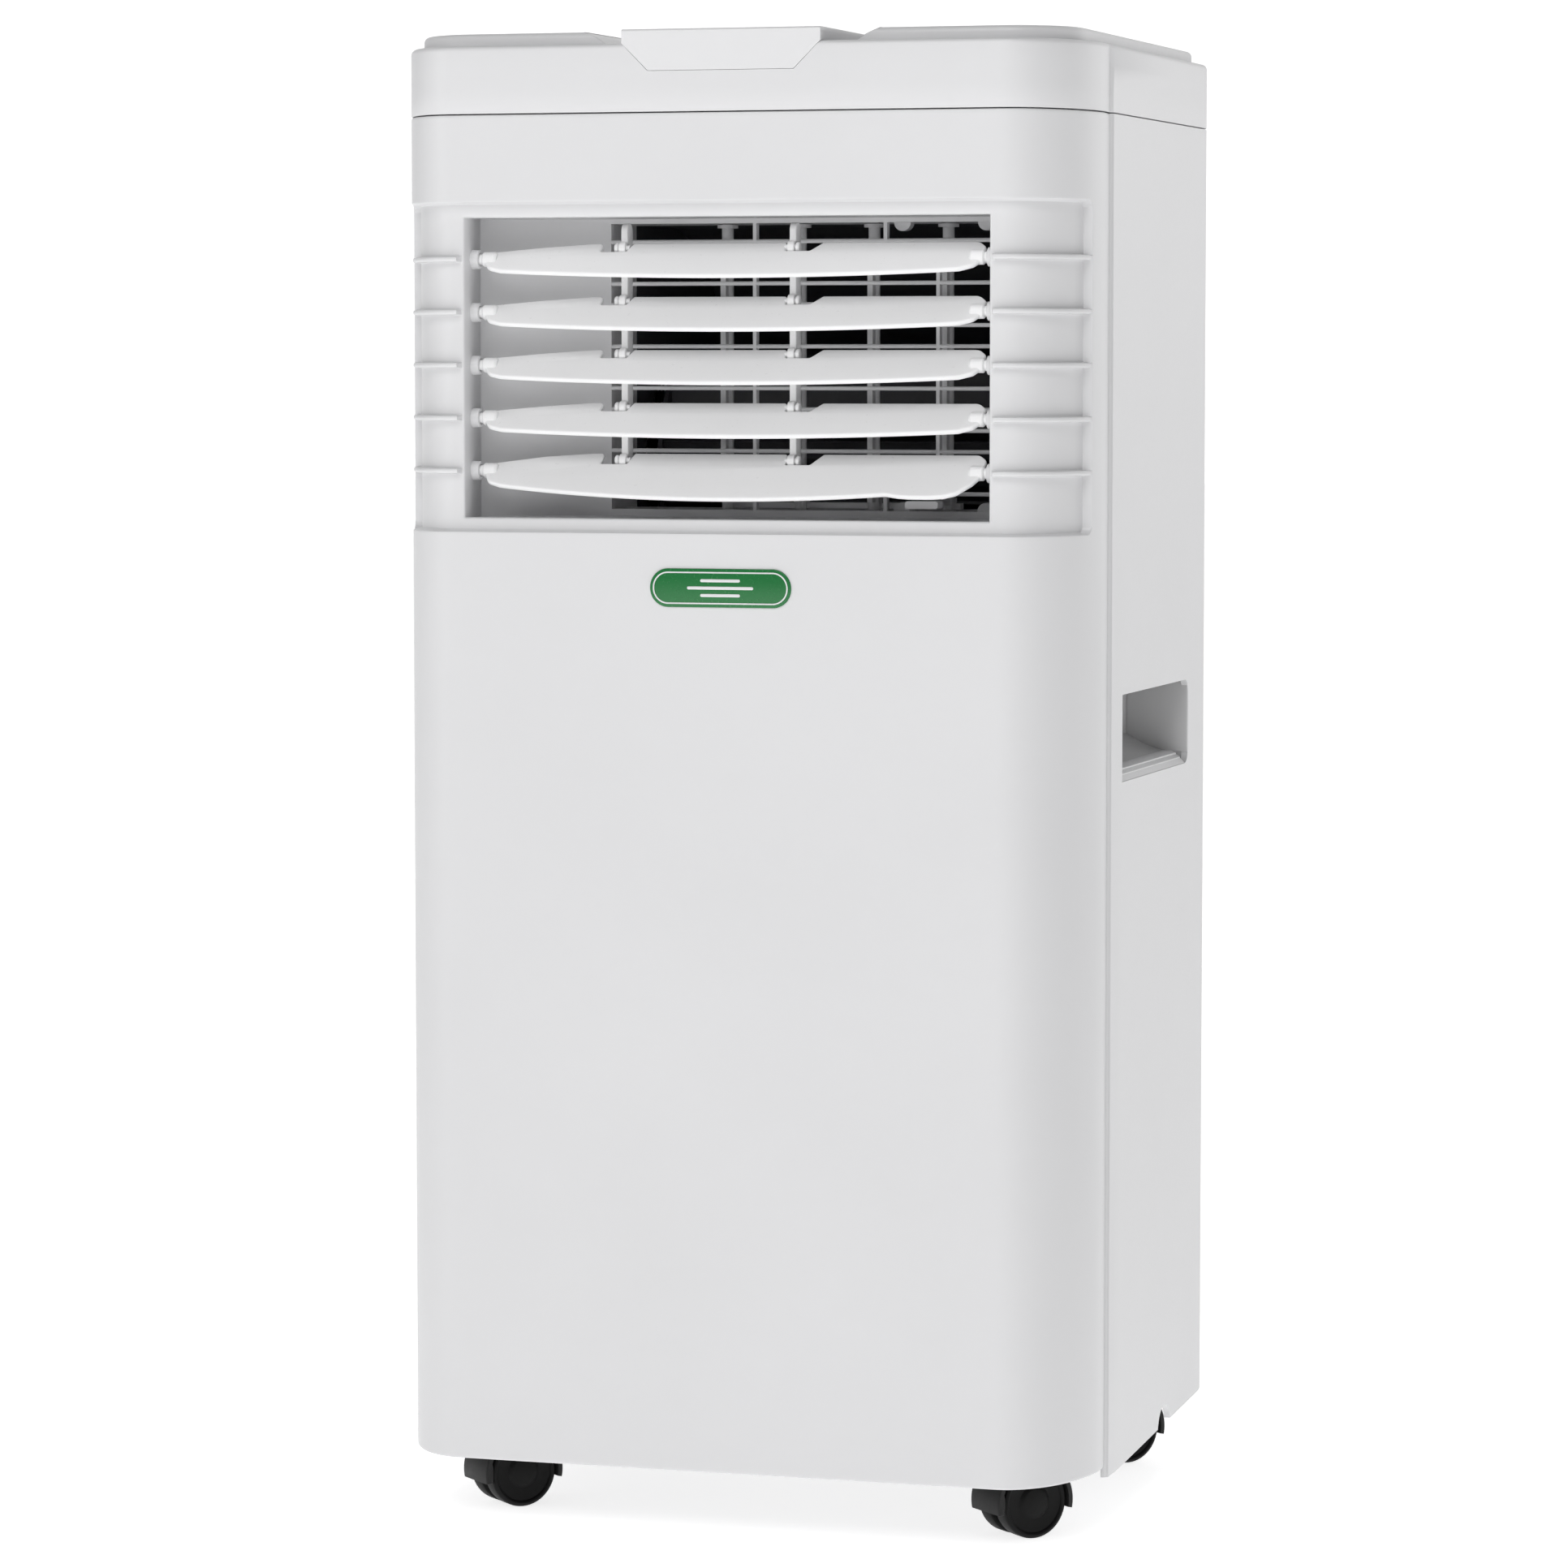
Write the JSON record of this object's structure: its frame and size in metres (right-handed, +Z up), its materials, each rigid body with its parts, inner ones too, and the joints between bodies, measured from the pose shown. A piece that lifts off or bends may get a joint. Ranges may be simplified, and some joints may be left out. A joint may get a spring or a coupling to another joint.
{
  "type": "portable air conditioner",
  "caption": "Upright portable air conditioner on casters, with tilting outlet louvers at the front, console on top, rear intakes and hose socket.",
  "frame": {"origin": "middle of the footprint, on the floor", "axes": "+Z up, -Y towards the front with the air outlet, +X to the right seen from the front"},
  "size_m": [0.316, 0.27, 0.66],
  "materials": {
    "casing_white": "satin, fine moulded grain",
    "console_white": "smooth satin",
    "louver_white": "smooth satin",
    "duct_grey": "matte moulded",
    "badge_green": "gloss",
    "display_black": "gloss smoked window",
    "inner_plastic": "matte moulded",
    "painted_steel": "baked enamel",
    "coil_aluminium": "bare fins",
    "pipe_copper": "drawn copper",
    "black_rubber": "matte",
    "bare_steel": "bright zinc plate",
    "circuit_green": "solder mask",
    "filter_mesh": "woven screen",
    "caster_black": "fine moulded grain",
    "wheel_black": "hard nylon"
  },
  "bodies": {
    "cabinet": {"back_panel": "casing_white", "badge": "badge_green", "base_pan": "inner_plastic", "case_screws": "bare_steel", "cold_motor": "bare_steel", "cold_scroll": "inner_plastic", "compressor": "painted_steel", "compressor_mounts": "black_rubber", "condenser_coil": "coil_aluminium", "control_board": "circuit_green", "control_console": "console_white", "cord_gland": "black_rubber", "display_window": "display_black", "electrical_box": "painted_steel", "evaporator_coil": "coil_aluminium", "exhaust_socket": "casing_white", "front_panel": "casing_white", "handle_cups": "casing_white", "hot_motor": "bare_steel", "hot_scroll": "inner_plastic", "mid_deck": "inner_plastic", "outlet_duct": "duct_grey", "outlet_grille": "duct_grey", "refrigerant_pipes": "pipe_copper", "side_panels": "casing_white", "top_cover": "casing_white"},
    "louver_1": {"louver_1": "louver_white"},
    "louver_2": {"louver_2": "louver_white"},
    "louver_3": {"louver_3": "louver_white"},
    "louver_4": {"louver_4": "louver_white"},
    "louver_5": {"louver_5": "louver_white"},
    "link_bars": {"link_bars": "louver_white"},
    "vane_1": {"vane_1": "duct_grey"},
    "vane_2": {"vane_2": "duct_grey"},
    "vane_3": {"vane_3": "duct_grey"},
    "vane_4": {"vane_4": "duct_grey"},
    "vane_link": {"vane_link": "duct_grey"},
    "power_button": {"power_button": "console_white"},
    "mode_button": {"mode_button": "console_white"},
    "fan_button": {"fan_button": "console_white"},
    "warmer_button": {"warmer_button": "console_white"},
    "cooler_button": {"cooler_button": "console_white"},
    "upper_intake": {"upper_grille": "casing_white", "upper_filter": "filter_mesh"},
    "lower_intake": {"lower_grille": "casing_white"},
    "drain_plug": {"drain_plug": "black_rubber"},
    "cold_fan": {"cold_wheel": "inner_plastic"},
    "hot_fan": {"hot_wheel": "inner_plastic"},
    "front_left_caster": {"front_left_hood": "caster_black", "front_left_axle": "bare_steel"},
    "front_left_wheels": {"front_left_wheels": "wheel_black"},
    "front_right_caster": {"front_right_hood": "caster_black", "front_right_axle": "bare_steel"},
    "front_right_wheels": {"front_right_wheels": "wheel_black"},
    "rear_right_caster": {"rear_right_hood": "caster_black", "rear_right_axle": "bare_steel"},
    "rear_right_wheels": {"rear_right_wheels": "wheel_black"},
    "rear_left_caster": {"rear_left_hood": "caster_black", "rear_left_axle": "bare_steel"},
    "rear_left_wheels": {"rear_left_wheels": "wheel_black"}
  },
  "joints": [
    {"name": "louver_1_tilt", "type": "hinge", "parent": "cabinet", "child": "louver_1", "pos_m": [0, -0.1195, 0.5605], "axis": [1, 0, 0], "range_deg": [-58, 20]},
    {"name": "louver_2_tilt", "type": "hinge", "parent": "cabinet", "child": "louver_2", "pos_m": [0, -0.1195, 0.53738], "axis": [1, 0, 0], "range_deg": [-58, 20]},
    {"name": "louver_3_tilt", "type": "hinge", "parent": "cabinet", "child": "louver_3", "pos_m": [0, -0.1195, 0.51425], "axis": [1, 0, 0], "range_deg": [-58, 20]},
    {"name": "louver_4_tilt", "type": "hinge", "parent": "cabinet", "child": "louver_4", "pos_m": [0, -0.1195, 0.49112], "axis": [1, 0, 0], "range_deg": [-58, 20]},
    {"name": "louver_5_tilt", "type": "hinge", "parent": "cabinet", "child": "louver_5", "pos_m": [0, -0.1195, 0.468], "axis": [1, 0, 0], "range_deg": [-58, 20]},
    {"name": "link_pivot", "type": "hinge", "parent": "louver_5", "child": "link_bars", "pos_m": [0, -0.11398, 0.47263], "axis": [1, 0, 0], "range_deg": [-20, 58]},
    {"name": "vane_1_turn", "type": "hinge", "parent": "cabinet", "child": "vane_1", "pos_m": [-0.0177, -0.068, 0.5135], "axis": [0, 0, 1], "range_deg": [-28, 28]},
    {"name": "vane_2_turn", "type": "hinge", "parent": "cabinet", "child": "vane_2", "pos_m": [0.0161, -0.068, 0.5135], "axis": [0, 0, 1], "range_deg": [-28, 28]},
    {"name": "vane_3_turn", "type": "hinge", "parent": "cabinet", "child": "vane_3", "pos_m": [0.0499, -0.068, 0.5135], "axis": [0, 0, 1], "range_deg": [-28, 28]},
    {"name": "vane_4_turn", "type": "hinge", "parent": "cabinet", "child": "vane_4", "pos_m": [0.0837, -0.068, 0.5135], "axis": [0, 0, 1], "range_deg": [-28, 28]},
    {"name": "vane_link_pivot", "type": "hinge", "parent": "vane_4", "child": "vane_link", "pos_m": [0.0837, -0.0595, 0.452], "axis": [0, 0, 1], "range_deg": [-28, 28]},
    {"name": "power_button_press", "type": "slide", "parent": "cabinet", "child": "power_button", "axis": [0, 0, -1], "range_m": [0, 0.0015], "stiffness_N_per_m": 400, "springref_m": -0.0015},
    {"name": "mode_button_press", "type": "slide", "parent": "cabinet", "child": "mode_button", "axis": [0, 0, -1], "range_m": [0, 0.0015], "stiffness_N_per_m": 400, "springref_m": -0.0015},
    {"name": "fan_button_press", "type": "slide", "parent": "cabinet", "child": "fan_button", "axis": [0, 0, -1], "range_m": [0, 0.0015], "stiffness_N_per_m": 400, "springref_m": -0.0015},
    {"name": "warmer_button_press", "type": "slide", "parent": "cabinet", "child": "warmer_button", "axis": [0, 0, -1], "range_m": [0, 0.0015], "stiffness_N_per_m": 400, "springref_m": -0.0015},
    {"name": "cooler_button_press", "type": "slide", "parent": "cabinet", "child": "cooler_button", "axis": [0, 0, -1], "range_m": [0, 0.0015], "stiffness_N_per_m": 400, "springref_m": -0.0015},
    {"name": "upper_intake_lift_off", "type": "slide", "parent": "cabinet", "child": "upper_intake", "axis": [0, 1, 0], "range_m": [0, 0.06]},
    {"name": "lower_intake_lift_off", "type": "slide", "parent": "cabinet", "child": "lower_intake", "axis": [0, 1, 0], "range_m": [0, 0.06]},
    {"name": "drain_plug_pull", "type": "slide", "parent": "cabinet", "child": "drain_plug", "axis": [0, 1, 0], "range_m": [0, 0.03]},
    {"name": "cold_fan_spin", "type": "hinge", "parent": "cabinet", "child": "cold_fan", "pos_m": [0, 0.01, 0.47], "axis": [1, 0, 0], "continuous": true},
    {"name": "hot_fan_spin", "type": "hinge", "parent": "cabinet", "child": "hot_fan", "pos_m": [0.05, 0, 0.138], "axis": [0, 1, 0], "continuous": true},
    {"name": "front_left_swivel", "type": "hinge", "parent": "cabinet", "child": "front_left_caster", "pos_m": [-0.119, -0.086, 0.04], "axis": [0, 0, 1], "continuous": true},
    {"name": "front_left_roll", "type": "hinge", "parent": "front_left_caster", "child": "front_left_wheels", "pos_m": [-0.11559, -0.08234, 0.016], "axis": [-0.7314, 0.682, 0], "continuous": true},
    {"name": "front_right_swivel", "type": "hinge", "parent": "cabinet", "child": "front_right_caster", "pos_m": [0.119, -0.086, 0.04], "axis": [0, 0, 1], "continuous": true},
    {"name": "front_right_roll", "type": "hinge", "parent": "front_right_caster", "child": "front_right_wheels", "pos_m": [0.12241, -0.08234, 0.016], "axis": [-0.7314, 0.682, 0], "continuous": true},
    {"name": "rear_right_swivel", "type": "hinge", "parent": "cabinet", "child": "rear_right_caster", "pos_m": [0.119, 0.092, 0.04], "axis": [0, 0, 1], "continuous": true},
    {"name": "rear_right_roll", "type": "hinge", "parent": "rear_right_caster", "child": "rear_right_wheels", "pos_m": [0.12241, 0.09566, 0.016], "axis": [-0.7314, 0.682, 0], "continuous": true},
    {"name": "rear_left_swivel", "type": "hinge", "parent": "cabinet", "child": "rear_left_caster", "pos_m": [-0.119, 0.092, 0.04], "axis": [0, 0, 1], "continuous": true},
    {"name": "rear_left_roll", "type": "hinge", "parent": "rear_left_caster", "child": "rear_left_wheels", "pos_m": [-0.12283, 0.09521, 0.016], "axis": [-0.6428, -0.766, 0], "continuous": true}
  ],
  "couplings": [
    {"joint": "louver_1_tilt", "follows": "louver_5_tilt", "ratio": 1},
    {"joint": "louver_2_tilt", "follows": "louver_5_tilt", "ratio": 1},
    {"joint": "louver_3_tilt", "follows": "louver_5_tilt", "ratio": 1},
    {"joint": "louver_4_tilt", "follows": "louver_5_tilt", "ratio": 1},
    {"joint": "link_pivot", "follows": "louver_5_tilt", "ratio": -1},
    {"joint": "vane_1_turn", "follows": "vane_4_turn", "ratio": 1},
    {"joint": "vane_2_turn", "follows": "vane_4_turn", "ratio": 1},
    {"joint": "vane_3_turn", "follows": "vane_4_turn", "ratio": 1},
    {"joint": "vane_link_pivot", "follows": "vane_4_turn", "ratio": -1}
  ]
}
